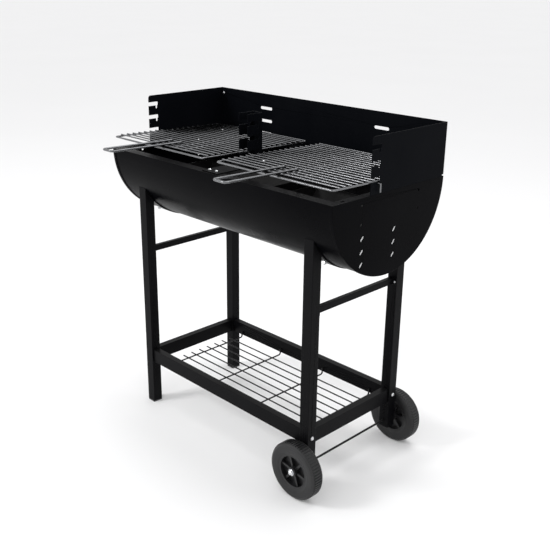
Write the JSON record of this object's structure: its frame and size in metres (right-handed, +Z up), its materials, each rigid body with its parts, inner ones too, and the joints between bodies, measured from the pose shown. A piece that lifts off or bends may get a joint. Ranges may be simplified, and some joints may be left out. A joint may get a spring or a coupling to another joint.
{
  "type": "barrel charcoal grill",
  "caption": "Half-round barrel charcoal grill with windshield, two sliding cooking grids, lift-out coal trays, wire shelf and a wheeled tube frame.",
  "frame": {"origin": "middle of the footprint on the floor", "axes": "X along the barrel with the wheels at +X, -Y the front with the grid handles, Z up"},
  "size_m": [0.862, 0.5978, 0.937],
  "materials": {
    "barrel_enamel": "satin black enamel",
    "shield_enamel": "satin black enamel",
    "zinc_fastener": "bright zinc plate",
    "black_screw": "black oxide",
    "chrome_wire": "chrome plated wire",
    "tray_enamel": "black enamel, outer end rubbed to bare zinc",
    "frame_paint": "satin black powder coat",
    "foot_plastic": "moulded",
    "shelf_wire": "black coated wire",
    "axle_steel": "black rod",
    "cap_steel": "zinc plate",
    "hub_plastic": "moulded",
    "tyre_plastic": "moulded"
  },
  "bodies": {
    "grill": {"barrel_shell": "barrel_enamel", "left_end_panel": "barrel_enamel", "right_end_panel": "barrel_enamel", "centre_strap": "barrel_enamel", "windshield_back": "shield_enamel", "windshield_left": "shield_enamel", "windshield_right": "shield_enamel", "centre_post": "shield_enamel", "windshield_bolts": "zinc_fastener", "strap_screws": "zinc_fastener", "post_screws": "zinc_fastener", "saddle_bolts": "zinc_fastener", "frame_bolts": "zinc_fastener", "crossbar_screws": "zinc_fastener", "windshield_screws": "black_screw", "front_left_leg": "frame_paint", "rear_left_leg": "frame_paint", "front_right_leg": "frame_paint", "rear_right_leg": "frame_paint", "left_saddle": "frame_paint", "right_saddle": "frame_paint", "left_crossbar": "frame_paint", "right_crossbar": "frame_paint", "front_rail": "frame_paint", "rear_rail": "frame_paint", "left_rail": "frame_paint", "right_rail": "frame_paint", "foot_caps": "foot_plastic", "bottom_shelf": "shelf_wire", "axle": "axle_steel", "axle_washers": "cap_steel", "axle_nuts": "cap_steel"},
    "left_grid": {"left_grid": "chrome_wire", "left_grid_handle": "chrome_wire"},
    "right_grid": {"right_grid": "chrome_wire", "right_grid_handle": "chrome_wire"},
    "left_tray": {"left_charcoal_tray": "tray_enamel"},
    "right_tray": {"right_charcoal_tray": "tray_enamel"},
    "front_wheel": {"front_wheel_hub": "hub_plastic", "front_wheel_tyre": "tyre_plastic"},
    "rear_wheel": {"rear_wheel_hub": "hub_plastic", "rear_wheel_tyre": "tyre_plastic"}
  },
  "joints": [
    {"name": "left_grid_slide", "type": "slide", "parent": "grill", "child": "left_grid", "axis": [0, -1, 0], "range_m": [0, 0.4]},
    {"name": "right_grid_slide", "type": "slide", "parent": "grill", "child": "right_grid", "axis": [0, -1, 0], "range_m": [0, 0.4]},
    {"name": "left_tray_lift", "type": "slide", "parent": "grill", "child": "left_tray", "axis": [0, 0, 1], "range_m": [0, 0.07]},
    {"name": "right_tray_lift", "type": "slide", "parent": "grill", "child": "right_tray", "axis": [0, 0, 1], "range_m": [0, 0.07]},
    {"name": "front_wheel_spin", "type": "hinge", "parent": "grill", "child": "front_wheel", "pos_m": [0.329, -0.1379, 0.078], "axis": [0, 1, 0], "continuous": true},
    {"name": "rear_wheel_spin", "type": "hinge", "parent": "grill", "child": "rear_wheel", "pos_m": [0.329, 0.2721, 0.078], "axis": [0, 1, 0], "continuous": true}
  ]
}
